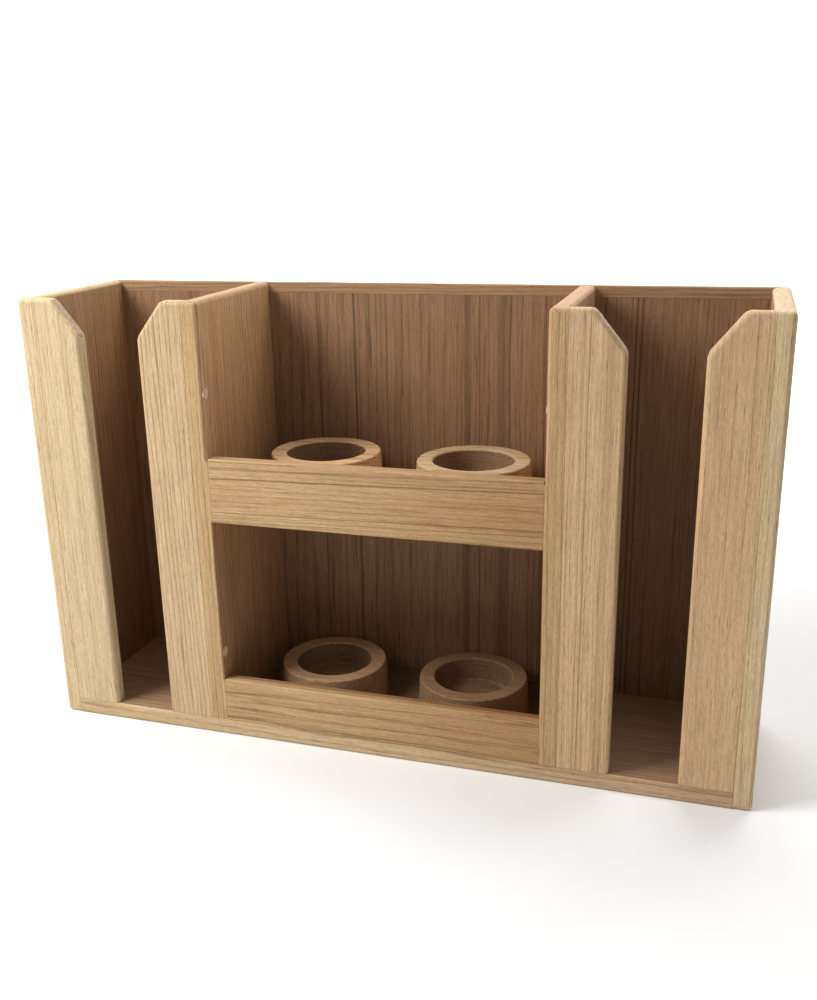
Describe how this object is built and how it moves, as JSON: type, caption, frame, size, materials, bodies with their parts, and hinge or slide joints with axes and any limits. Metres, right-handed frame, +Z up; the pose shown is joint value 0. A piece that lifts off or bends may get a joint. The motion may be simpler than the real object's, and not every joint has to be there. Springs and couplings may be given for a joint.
{
  "type": "galley rack",
  "caption": "Open-topped teak rack with slotted bays at each side and a shelved middle bay whose turned cups hold glasses.",
  "frame": {"origin": "centre of the footprint, on the underside of the base", "axes": "+X to the right as seen from the open front, +Y from the front to the back, +Z up"},
  "size_m": [0.5, 0.124, 0.313],
  "materials": {
    "board_teak": "bare planed teak, matte",
    "stile_teak": "bare planed teak, matte, straight fine grain",
    "rail_teak": "bare planed teak, matte, grain along the rail",
    "back_teak": "teak faced panel, matte, grain upright",
    "cup_teak": "turned teak, matte",
    "bung_teak": "teak bung cut flush, matte",
    "screw_steel": "stainless steel, plain"
  },
  "bodies": {
    "root": {"side_panel_left": "board_teak", "side_panel_right": "board_teak", "base_board": "board_teak", "divider_left": "board_teak", "divider_right": "board_teak", "outer_stile_left": "stile_teak", "inner_stile_left": "stile_teak", "inner_stile_right": "stile_teak", "outer_stile_right": "stile_teak", "lower_rail": "rail_teak", "upper_rail": "rail_teak", "shelf": "board_teak", "back_panel": "back_teak", "back_lipping": "back_teak", "lower_cup_left": "cup_teak", "lower_cup_right": "cup_teak", "upper_cup_left": "cup_teak", "upper_cup_right": "cup_teak", "bung_base_front_left": "bung_teak", "bung_base_front_right": "bung_teak", "bung_base_rear_left": "bung_teak", "bung_base_rear_right": "bung_teak", "bung_inner_stile_lower_left": "bung_teak", "bung_inner_stile_lower_right": "bung_teak", "bung_inner_stile_upper_left": "bung_teak", "bung_inner_stile_upper_right": "bung_teak", "bung_outer_stile_lower_left": "bung_teak", "bung_outer_stile_lower_right": "bung_teak", "bung_outer_stile_upper_left": "bung_teak", "bung_outer_stile_upper_right": "bung_teak", "bung_shelf_front_left": "bung_teak", "bung_shelf_front_right": "bung_teak", "bung_shelf_rear_left": "bung_teak", "bung_shelf_rear_right": "bung_teak", "screw_base_front_left": "screw_steel", "screw_base_front_right": "screw_steel", "screw_base_rear_left": "screw_steel", "screw_base_rear_right": "screw_steel", "screw_divider_left": "screw_steel", "screw_divider_right": "screw_steel", "screw_inner_stile_lower_left": "screw_steel", "screw_inner_stile_lower_right": "screw_steel", "screw_inner_stile_upper_left": "screw_steel", "screw_inner_stile_upper_right": "screw_steel", "screw_lower_cup_left": "screw_steel", "screw_lower_cup_right": "screw_steel", "screw_lower_rail_left": "screw_steel", "screw_lower_rail_right": "screw_steel", "screw_outer_stile_lower_left": "screw_steel", "screw_outer_stile_lower_right": "screw_steel", "screw_outer_stile_upper_left": "screw_steel", "screw_outer_stile_upper_right": "screw_steel", "screw_shelf_front_left": "screw_steel", "screw_shelf_front_right": "screw_steel", "screw_shelf_rear_left": "screw_steel", "screw_shelf_rear_right": "screw_steel", "screw_upper_cup_left": "screw_steel", "screw_upper_cup_right": "screw_steel", "screw_upper_rail_left": "screw_steel", "screw_upper_rail_right": "screw_steel"}
  },
  "joints": []
}
